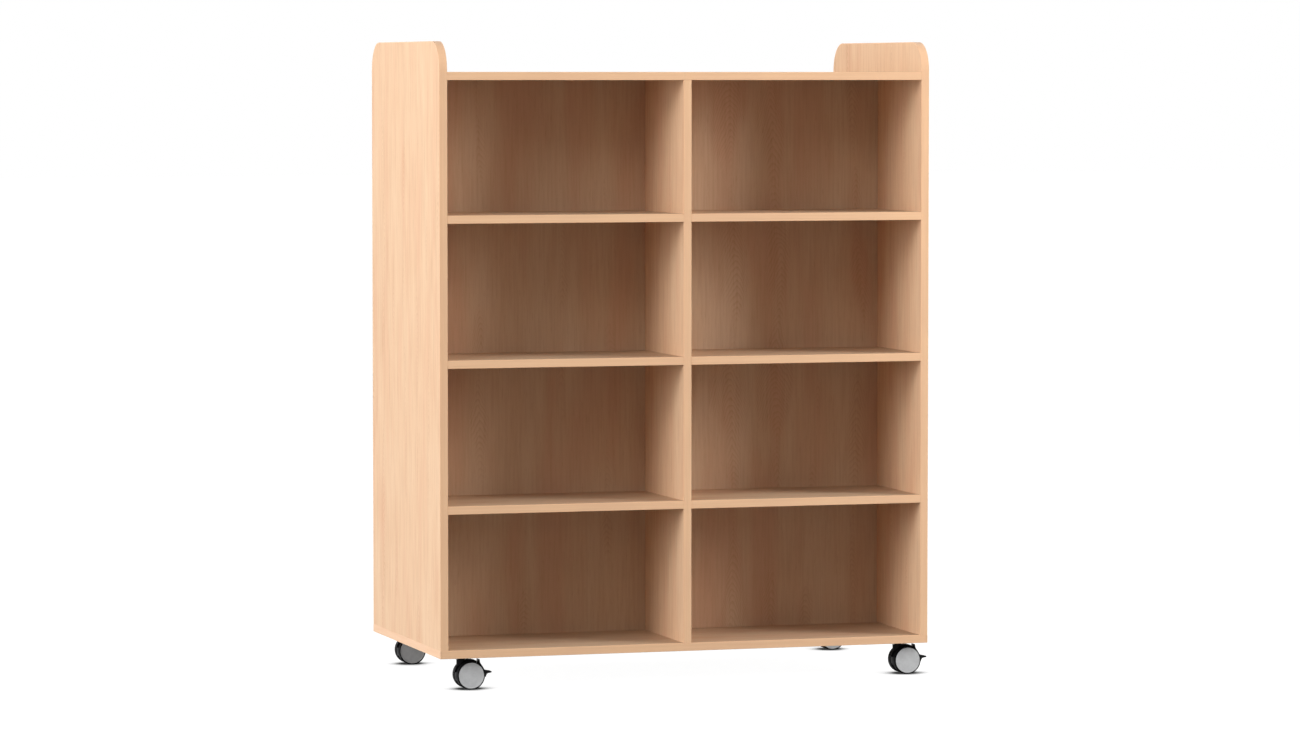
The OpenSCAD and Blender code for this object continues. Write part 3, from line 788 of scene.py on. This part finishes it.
class SHELVING_OT_set_stage(bpy.types.Operator):
    """Set the camera, the pale floor, the room and the soft lamps"""

    bl_idname = "shelving.set_stage"
    bl_label = "Set Stage"

    def execute(self, context):
        studio = context.scene.studio_settings
        clear_selection()
        bpy.ops.object.camera_add(location=studio.camera_place, rotation=studio.camera_turn)
        camera = context.active_object
        camera.name = "studio_camera"
        camera.data.lens = studio.camera_lens
        camera.data.sensor_width = 36.0
        camera.data.sensor_fit = "HORIZONTAL"
        camera.data.clip_end = 200.0
        context.scene.camera = camera
        context.scene.view_settings.view_transform = "Standard"
        self.set_floor(studio)
        self.set_room(context, studio)
        for name, row in LAMPS.items():
            self.set_lamp(f"{name}_lamp", getattr(studio, f"{name}_power"), *row)
        return {"FINISHED"}

    def set_lamp(self, name, watts, distance, bearing, rise, aim_height, size, in_gloss):
        """A soft round lamp; its bearing is from the front towards the right."""
        clear_selection()
        around = math.radians(bearing)
        above = math.radians(rise)
        aim = Vector((0.0, 0.0, aim_height))
        away = Vector((
            math.sin(around) * math.cos(above), -math.cos(around) * math.cos(above),
            math.sin(above),
        ))
        place = aim + distance * away
        turn = (-away).to_track_quat("-Z", "Y").to_euler()
        bpy.ops.object.light_add(type="AREA", location=place, rotation=turn)
        lamp = bpy.context.active_object
        lamp.name = name
        lamp.data.shape = "DISK"
        lamp.data.size = size
        lamp.data.energy = watts
        lamp.visible_glossy = in_gloss

    def seen(self, tree):
        """One for rays of the eye, of gloss and of glass; nought for light on the object."""
        rays = add(tree, "ShaderNodeLightPath")
        either = math_node(
            tree, "MAXIMUM", rays.outputs["Is Camera Ray"], rays.outputs["Is Glossy Ray"]
        )
        return math_node(tree, "MAXIMUM", either, rays.outputs["Is Transmission Ray"])

    def set_floor(self, studio):
        """A pale floor that keeps the shadow, with a painted contact shadow close under the
        wheels.
        """
        clear_selection()
        bpy.ops.mesh.primitive_plane_add(size=FLOOR_SIZE, location=(0, 0, 0))
        floor = bpy.context.active_object
        floor.name = "studio_floor"
        material = bpy.data.materials.new("pale_floor")
        material.use_nodes = True
        tree = material.node_tree
        tree.nodes.clear()
        # Painted contact shadow: ambient occlusion near the castors darkens the floor's colour and
        # its lift for the eye
        near = add(
            tree, "ShaderNodeAmbientOcclusion", {"Distance": studio.painted_shadow_reach}, samples=16
        )
        open_share = spread(tree, near.outputs["AO"], 0.33, 0.97, 0.04, 1.0)
        grit = spread(tree, noise(tree, object_place(tree), 40.0, 3.0), 0.3, 0.7, 0.985, 1.0)
        open_share = math_node(tree, "MULTIPLY", open_share, grit)
        tint = blend(tree, open_share, (0.0, 0.0, 0.0, 1.0), tuple(studio.floor_colour))
        matt = add(tree, "ShaderNodeBsdfDiffuse", {"Color": tint})
        lift = math_node(tree, "MULTIPLY", self.seen(tree), studio.floor_lift)
        lift = math_node(tree, "MULTIPLY", lift, open_share)
        glow = add(tree, "ShaderNodeEmission", {"Color": (1, 1, 1, 1), "Strength": lift})
        both = add(tree, "ShaderNodeAddShader", {0: matt.outputs[0], 1: glow.outputs[0]})
        add(tree, "ShaderNodeOutputMaterial", {"Surface": both.outputs[0]})
        floor.data.materials.append(material)

    def set_room(self, context, studio):
        """An even room: white to the eye, and weaker as light on the object."""
        world = bpy.data.worlds.new("studio_room")
        context.scene.world = world
        world.use_nodes = True
        tree = world.node_tree
        tree.nodes.clear()
        room = add(
            tree, "ShaderNodeBackground", {"Color": (1, 1, 1, 1), "Strength": studio.room_level}
        )
        white = add(tree, "ShaderNodeBackground", {"Color": (1, 1, 1, 1), "Strength": 1.0})
        shown = add(
            tree, "ShaderNodeMixShader",
            {0: self.seen(tree), 1: room.outputs[0], 2: white.outputs[0]},
        )
        add(tree, "ShaderNodeOutputWorld", {"Surface": shown.outputs[0]})


class SHELVING_OT_finish_boards(bpy.types.Operator):
    """Give the boards their beech laminate, with the grain along each board"""

    bl_idname = "shelving.finish_boards"
    bl_label = "Finish Boards"

    def execute(self, context):
        beech = context.scene.beech_settings
        dress(UPRIGHT_BOARDS, beech_laminate(
            "upright_beech_laminate", "Z", "Y", beech.upright_tone,
            tone_change=0.45, band=20.0, dashes=0.16,
        ))
        # The partition and the shelves get painted shade: their laminate is darker than the
        # uprights' to stand in for the shade inside the bays
        dress(("centre_partition",), beech_laminate(
            "partition_beech_laminate", "Z", "X", beech.partition_painted_shade
        ))
        dress(LEVEL_BOARDS, beech_laminate(
            "level_beech_laminate", "X", "Y", beech.level_painted_shade, tone_change=0.8
        ))
        return {"FINISHED"}


class SHELVING_OT_finish_edgings(bpy.types.Operator):
    """Give the edging strips their streaked beech"""

    bl_idname = "shelving.finish_edgings"
    bl_label = "Finish Edgings"

    def execute(self, context):
        dress(("side_edging",), beech_edging("side_beech_edging", ("Z", "sides")))
        dress(("board_edging",), beech_edging("board_beech_edging", ("X", "boards")))
        dress(("shelf_edging",), beech_edging("shelf_beech_edging", ("X",)))
        return {"FINISHED"}


class SHELVING_OT_finish_fittings(bpy.types.Operator):
    """Give the dowels, plates, kingpins and axles their finishes"""

    bl_idname = "shelving.finish_fittings"
    bl_label = "Finish Fittings"

    def execute(self, context):
        dress(("dowels",), solid_beech("solid_beech"))
        plate = plated_metal("zinc_plate", ZINC_PLATE, roughness=0.34, mottle=420.0)
        dress([f"{corner}_castor_plate" for corner in CORNERS], plate)
        steel = plated_metal("turned_steel", TURNED_STEEL, roughness=0.28, mottle=900.0)
        dress([f"{corner}_kingpin" for corner in CORNERS], steel)
        dress([f"{corner}_axle" for corner in CORNERS], steel)
        return {"FINISHED"}


class SHELVING_OT_model_wheels(bpy.types.Operator):
    """Model the ribbed wheels with rounded shoulders"""

    bl_idname = "shelving.model_wheels"
    bl_label = "Model Wheels"

    def execute(self, context):
        castor = context.scene.castor_settings
        pattern = self.model(castor)
        finish = moulded_plastic(
            "black_wheel_plastic", castor.tread, roughness=0.52, shine=0.03, dusty=castor.dust
        )
        fit_on_axles(pattern, "wheel", WHEEL, finish)
        return {"FINISHED"}

    def model(self, castor):
        radius = WHEEL_SIZE.z / 2
        width = WHEEL_SIZE.y
        front = WHEEL.y - width / 2
        back = WHEEL.y + width / 2
        recess = CAP_SIZE.z / 2 + castor.cap_clearance
        hollow = width - CAP_SIZE.y - castor.disc_width
        rim_in = radius - castor.rim_width
        wheel = add_cylinder("wheel_pattern", WHEEL, radius, width)
        pick_faces(lambda place, normal: normal.y < -0.9)
        inset(radius - recess)
        push((0, CAP_SIZE.y, 0))
        pick_faces(lambda place, normal: normal.y > 0.9 and place.y > back - 0.001)
        inset(castor.rim_width)
        push((0, -hollow, 0))
        inset(rim_in - castor.hub_radius)
        push((0, hollow, 0))
        inset(castor.hub_radius - castor.bore_radius)
        push((0, -(hollow + castor.disc_width - BORE_SKIN), 0))
        pick_edges(ring_at(radius, front))
        round_off(castor.shoulder, 5)
        pick_edges(ring_at(radius, back))
        round_off(castor.shoulder, 5)
        for ring in ((recess, front), (rim_in, back), (castor.hub_radius, back)):
            pick_edges(ring_at(*ring))
            round_off(SMALL_ROUND, 2)
        self.add_ribs(castor, rim_in, back - hollow, back)
        return close_piece(wheel)

    def add_ribs(self, castor, rim_in, low, high):
        """Ribs between hub and rim, a little below the wheel's inner face."""
        start = castor.hub_radius - RIB_OVERLAP
        reach = rim_in - castor.hub_radius + 2 * RIB_OVERLAP
        bpy.ops.mesh.select_mode(type="FACE")
        bpy.ops.mesh.select_all(action="DESELECT")
        bpy.ops.mesh.primitive_cube_add(
            size=1.0,
            location=(AXLE.x + start + reach / 2, (low + high - RIB_INSET) / 2, AXLE.z),
            scale=(reach, high - RIB_INSET - low + RIB_SINK, castor.rib_width),
        )
        bpy.ops.mesh.bevel(offset=SMALL_ROUND, segments=2, affect="EDGES")
        bpy.ops.mesh.spin(
            steps=RIBS - 1, dupli=True, angle=math.radians(360 / RIBS * (RIBS - 1)),
            center=(AXLE.x, WHEEL.y, AXLE.z), axis=(0, 1, 0),
        )


class SHELVING_OT_model_caps(bpy.types.Operator):
    """Model the plain grey wheel caps with their raised rims"""

    bl_idname = "shelving.model_caps"
    bl_label = "Model Caps"

    def execute(self, context):
        castor = context.scene.castor_settings
        pattern = self.model()
        finish = moulded_plastic("grey_cap_plastic", castor.grey, roughness=0.36)
        fit_on_axles(pattern, "cap", CAP, finish)
        return {"FINISHED"}

    def model(self):
        radius = CAP_SIZE.z / 2
        front = CAP.y - CAP_SIZE.y / 2
        cap = add_cylinder("cap_pattern", CAP, radius, CAP_SIZE.y)
        pick_faces(lambda place, normal: normal.y < -0.9)
        for width, rise in CAP_STEPS:
            inset(width, rise)
        pick_edges(ring_at(radius, front))
        round_off(CAP_ROUND, 4)
        return close_piece(cap, 50.0)


class SHELVING_OT_model_housings(bpy.types.Operator):
    """Model the black castor housings between the wheels"""

    bl_idname = "shelving.model_housings"
    bl_label = "Model Housings"

    def execute(self, context):
        castor = context.scene.castor_settings
        finish = moulded_plastic(
            "black_housing_plastic", castor.black, roughness=0.44, shine=0.06
        )
        braked = self.model(castor, True)
        plain = self.model(castor, False)
        for corner in CORNERS:
            pattern = braked if corner in BRAKED_CORNERS else plain
            fit_on_castor(pattern, corner, "housing", "swivel", finish)
        drop(braked)
        drop(plain)
        return {"FINISHED"}

    def outline(self, castor, start):
        """The hood's and the web's outline, from the axle."""
        points = arc_points(castor.hood_radius, start, castor.hood_end, 30)
        low = math.asin(-castor.housing_drop / castor.web_radius)
        points += arc_points(castor.web_radius, castor.hood_end, math.pi - low, 8)
        points += arc_points(castor.web_radius, low, start, 20)
        return points

    def model(self, castor, braked):
        start = castor.braked_hood_start if braked else castor.hood_start
        name = "braked_housing_pattern" if braked else "plain_housing_pattern"
        half = castor.web_width / 2
        housing = add_slab(name, self.outline(castor, start), SWIVEL.y, castor.web_width)
        boss_middle = (castor.boss_foot + HOUSING_TOP) / 2
        boss = add_cylinder(
            "boss", (SWIVEL.x, SWIVEL.y, boss_middle), castor.boss_radius,
            HOUSING_TOP - castor.boss_foot, "Z", 64,
        )
        combine(housing, boss, "UNION")
        for side in (-1, 1):
            space = add_cylinder(
                "space", (AXLE.x, SWIVEL.y + side * (half + WHEEL_SPACE / 2), AXLE.z),
                castor.wheel_clearance, WHEEL_SPACE,
            )
            combine(housing, space, "DIFFERENCE")
        bore_middle = HOUSING_TOP - castor.kingpin_depth / 2 + BORE_PROUD / 2
        bore = add_cylinder(
            "bore", (SWIVEL.x, SWIVEL.y, bore_middle), castor.kingpin_radius,
            castor.kingpin_depth + BORE_PROUD, "Z", 48,
        )
        combine(housing, bore, "DIFFERENCE")
        bore = add_cylinder("bore", AXLE, castor.bore_radius, THROUGH, "Y", 48)
        combine(housing, bore, "DIFFERENCE")
        if braked:
            slot = add_block(
                "slot", (AXLE.x + SLOT_REACH[0], SWIVEL.y - SLOT_HALF_WIDTH, 0.0),
                (AXLE.x + SLOT_REACH[1], SWIVEL.y + SLOT_HALF_WIDTH, SLOT_TOP),
            )
            combine(housing, slot, "DIFFERENCE")
            pivot = add_cylinder("pivot", pivot_place(), PIVOT_BORE, THROUGH, "Y", 32)
            combine(housing, pivot, "DIFFERENCE")
        soften(housing, MOULDED_ROUND, 2, 40.0)
        return close_piece(housing)


class SHELVING_OT_model_brakes(bpy.types.Operator):
    """Model the brake levers with shoe, pedal and release horn"""

    bl_idname = "shelving.model_brakes"
    bl_label = "Model Brakes"

    def execute(self, context):
        castor = context.scene.castor_settings
        finish = moulded_plastic(
            "black_lever_plastic", castor.black, roughness=0.40, shine=0.12
        )
        pattern = self.model()
        for corner in BRAKED_CORNERS:
            fit_on_castor(pattern, corner, "brake_lever", "brake", finish)
        drop(pattern)
        return {"FINISHED"}

    def clear_of_treads(self, radius, turn):
        """How far out a ray from the axle clears the treads, with the pedal up or down."""
        pivot_x, pivot_z = BRAKE_PIVOT
        x = pivot_x * (1 - math.cos(BRAKE_TRAVEL)) + pivot_z * math.sin(BRAKE_TRAVEL)
        z = pivot_z * (1 - math.cos(BRAKE_TRAVEL)) - pivot_x * math.sin(BRAKE_TRAVEL)
        along = x * math.cos(turn) + z * math.sin(turn)
        pressed = along + math.sqrt(radius ** 2 - x ** 2 - z ** 2 + along ** 2)
        return max(radius, pressed)

    def curve(self, radius, start, end, steps):
        """Points round the axle that clear the treads, between two angles in degrees."""
        points = []
        for step in range(steps + 1):
            turn = math.radians(start + (end - start) * step / steps)
            reach = self.clear_of_treads(radius, turn)
            points.append((reach * math.cos(turn), reach * math.sin(turn)))
        return points

    def outline(self):
        """Shoe, pedal and horn from the side, from the axle, counter-clockwise."""
        turns = [math.radians(-90 + 180 * step / 8) for step in range(9)]
        tip = [
            (PEDAL_TIP[0] + PEDAL_TIP_RADIUS * math.cos(turn),
             PEDAL_TIP[1] + PEDAL_TIP_RADIUS * math.sin(turn))
            for turn in turns
        ]
        points = self.curve(SHOE_OUTER, -8, -6, 1)
        points += metres((*SHOE_TO_PEDAL, *tip, *PEDAL_TO_SHOE))
        points += self.curve(SHOE_OUTER, 18, 38, 8)
        points += metres(HORN)
        points += self.curve(SHOE_INNER, 50, -8, 24)
        return points

    def model(self):
        lever = add_slab("lever_pattern", self.outline(), SWIVEL.y, LEVER_WIDTH)
        soften(lever, MOULDED_ROUND, 2, 40.0)
        web = add_slab("web", metres(LEVER_WEB), SWIVEL.y, LEVER_WEB_WIDTH)
        combine(lever, web, "UNION")
        eye = add_cylinder("eye", pivot_place(), EYE_RADIUS, LEVER_WEB_WIDTH, "Y", 48)
        combine(lever, eye, "UNION")
        trunnion = add_cylinder(
            "trunnion", pivot_place(), TRUNNION_RADIUS, TRUNNION_LENGTH, "Y", 32
        )
        combine(lever, trunnion, "UNION")
        return close_piece(lever)


class SHELVING_OT_model_screws(bpy.types.Operator):
    """Model the screws in the underside, with their driving recesses"""

    bl_idname = "shelving.model_screws"
    bl_label = "Model Screws"

    def execute(self, context):
        finish = plated_metal("zinc_screw", ZINC_SCREW, roughness=0.30, mottle=700.0)
        for node, model in (
            ("board_screws", self.model_board_screw), ("castor_screws", self.model_castor_screw),
        ):
            spots = self.spots(node)
            pattern = model(spots[0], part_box(node)[0].z)
            twins = [
                copy_piece(pattern, f"{node}_{number}", Matrix.Translation(spot - spots[0]))
                for number, spot in enumerate(spots)
            ]
            drop(pattern)
            clear_selection()
            for twin in twins:
                twin.select_set(True)
            context.view_layer.objects.active = twins[0]
            bpy.ops.object.join()
            screws = context.active_object
            screws.name = f"{node}_with_recesses"
            fit(screws, node, "carcass", finish)
        return {"FINISHED"}

    def spots(self, node):
        """The foot of each screw of a frame node, seen from below."""
        cells = {}
        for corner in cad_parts[node].data.vertices:
            key = (round(corner.co.x / SCREW_SPAN), round(corner.co.y / SCREW_SPAN))
            cells.setdefault(key, []).append(corner.co)
        groups = []
        for corners in cells.values():
            centre = sum(corners, Vector()) / len(corners)
            for group in groups:
                if math.hypot(group[0].x - centre.x, group[0].y - centre.y) < SCREW_SPAN:
                    group.extend(corners)
                    break
            else:
                groups.append(list(corners))
        spots = []
        for group in groups:
            xs = [corner.x for corner in group]
            ys = [corner.y for corner in group]
            spots.append(Vector(((min(xs) + max(xs)) / 2, (min(ys) + max(ys)) / 2, 0.0)))
        return sorted(spots, key=lambda spot: (round(spot.x, 3), round(spot.y, 3)))

    def model_board_screw(self, spot, foot):
        """A countersunk screw with a hexagonal socket."""
        head = add_cylinder(
            "head", (spot.x, spot.y, foot + BOARD_HEAD_HEIGHT / 2), BOARD_HEAD_RADIUS,
            BOARD_HEAD_HEIGHT, "Z", 32, BOARD_NECK_RADIUS,
        )
        pick_faces(lambda place, normal: normal.z > 0.9)
        push((0, 0, BOARD_SHANK))
        socket = add_cylinder(
            "socket", (spot.x, spot.y, foot), SOCKET_RADIUS, SOCKET_LENGTH, "Z", 6
        )
        combine(head, socket, "DIFFERENCE")
        return close_piece(head)

    def model_castor_screw(self, spot, foot):
        """A round-headed screw with a cross recess."""
        head = add_cylinder(
            "head", (spot.x, spot.y, foot + CASTOR_HEAD_HEIGHT / 2), CASTOR_HEAD_RADIUS,
            CASTOR_HEAD_HEIGHT, "Z", 32,
        )
        pick_edges(lambda point: point.z < foot + 0.0001)
        round_off(CASTOR_HEAD_HEIGHT / 2, 3)
        pick_faces(lambda place, normal: normal.z > 0.9)
        inset(CASTOR_HEAD_LEDGE)
        push((0, 0, CASTOR_SHANK))
        for width, depth in ((CROSS_LENGTH, CROSS_WIDTH), (CROSS_WIDTH, CROSS_LENGTH)):
            cut = add_block(
                "cut", (spot.x - width / 2, spot.y - depth / 2, foot - 0.001),
                (spot.x + width / 2, spot.y + depth / 2, foot + CROSS_DEPTH),
            )
            combine(head, cut, "DIFFERENCE")
        return close_piece(head)


class SHELVING_PT_pieces(bpy.types.Panel):
    """The steps that dress the shelving unit, in their order"""

    bl_idname = "SHELVING_PT_pieces"
    bl_label = "Mobile Book Shelving"
    bl_space_type = "VIEW_3D"
    bl_region_type = "UI"
    bl_category = "Shelving"

    def draw(self, context):
        for step in STEPS:
            self.layout.operator(step.bl_idname)
        for settings in ("studio_settings", "beech_settings", "castor_settings"):
            box = self.layout.box()
            group = getattr(context.scene, settings)
            for name in group.__annotations__:
                box.prop(group, name)


STEPS = (
    SHELVING_OT_set_stage,
    SHELVING_OT_finish_boards,
    SHELVING_OT_finish_edgings,
    SHELVING_OT_finish_fittings,
    SHELVING_OT_model_wheels,
    SHELVING_OT_model_caps,
    SHELVING_OT_model_housings,
    SHELVING_OT_model_brakes,
    SHELVING_OT_model_screws,
)
CLASSES = (StudioSettings, BeechSettings, CastorSettings, *STEPS, SHELVING_PT_pieces)


def register():
    for kind in CLASSES:
        bpy.utils.register_class(kind)
    bpy.types.Scene.studio_settings = bpy.props.PointerProperty(type=StudioSettings)
    bpy.types.Scene.beech_settings = bpy.props.PointerProperty(type=BeechSettings)
    bpy.types.Scene.castor_settings = bpy.props.PointerProperty(type=CastorSettings)


def unregister():
    del bpy.types.Scene.castor_settings
    del bpy.types.Scene.beech_settings
    del bpy.types.Scene.studio_settings
    for kind in reversed(CLASSES):
        bpy.utils.unregister_class(kind)


def main():
    register()
    bpy.ops.shelving.set_stage()
    bpy.ops.shelving.finish_boards()
    bpy.ops.shelving.finish_edgings()
    bpy.ops.shelving.finish_fittings()
    bpy.ops.shelving.model_wheels()
    bpy.ops.shelving.model_caps()
    bpy.ops.shelving.model_housings()
    bpy.ops.shelving.model_brakes()
    bpy.ops.shelving.model_screws()


if __name__ == "__main__":
    main()
